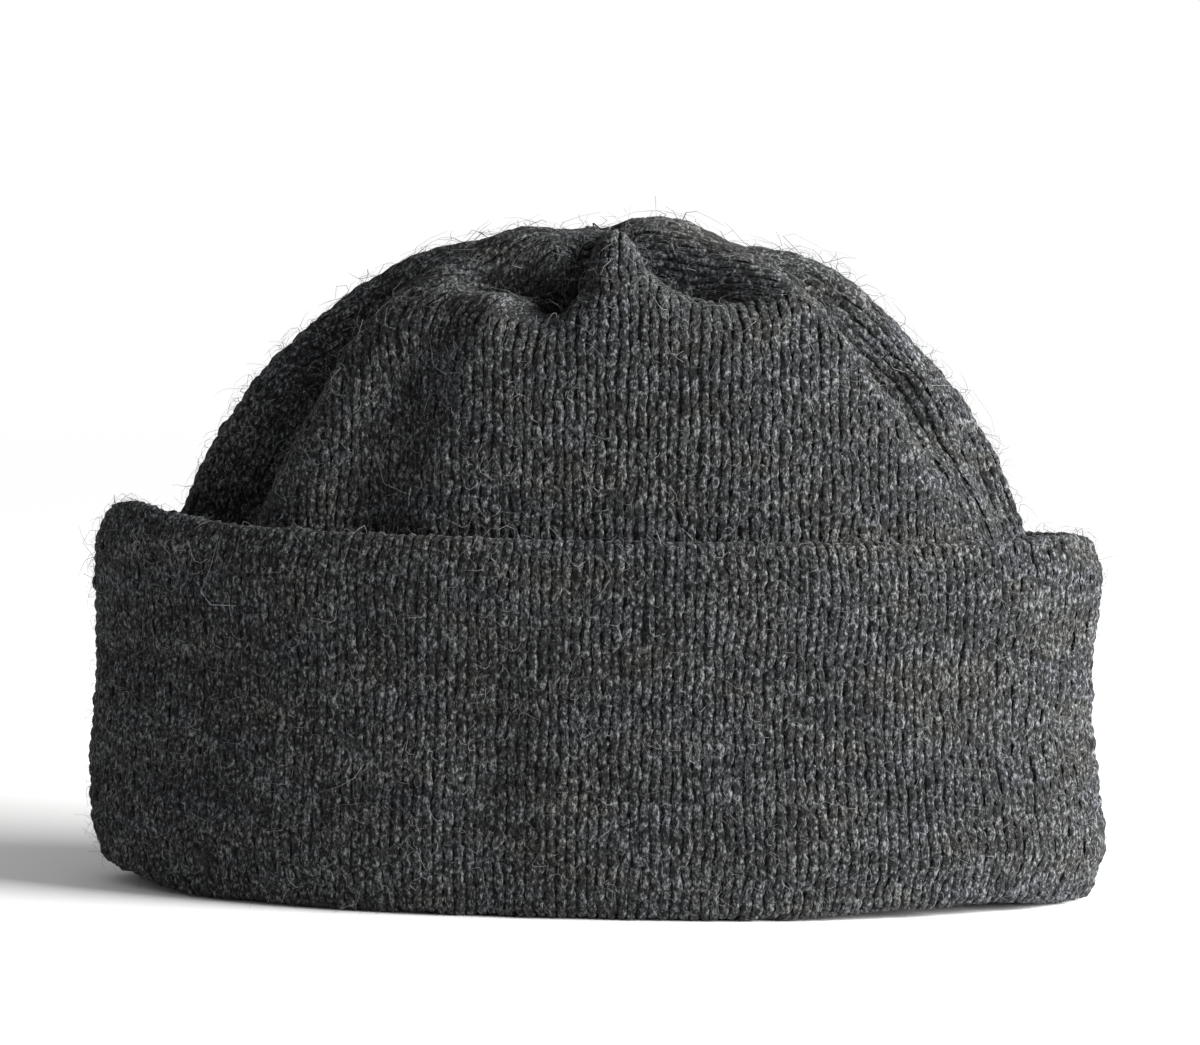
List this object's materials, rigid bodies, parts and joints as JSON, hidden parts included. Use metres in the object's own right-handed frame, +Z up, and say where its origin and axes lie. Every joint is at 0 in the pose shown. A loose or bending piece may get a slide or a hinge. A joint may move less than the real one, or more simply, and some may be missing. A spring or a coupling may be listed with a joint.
{
  "type": "knitted beanie",
  "caption": "Charcoal wool knit cap with a deep turned-up cuff and a crown gathered to a tip, standing on its rim, hollow inside for a head",
  "frame": {"origin": "on the table, under the middle of the hat's box", "axes": "+Z up through the crown, +X to the wearer's left along the hat's width, -Y to the front that the picture shows"},
  "size_m": [0.2252, 0.0912, 0.1496],
  "materials": {
    "charcoal_wool": "matt melange wool knit, charcoal with lighter fibres, slightly fuzzy"
  },
  "bodies": {
    "root": {"crown": "charcoal_wool", "cuff": "charcoal_wool"}
  },
  "joints": []
}
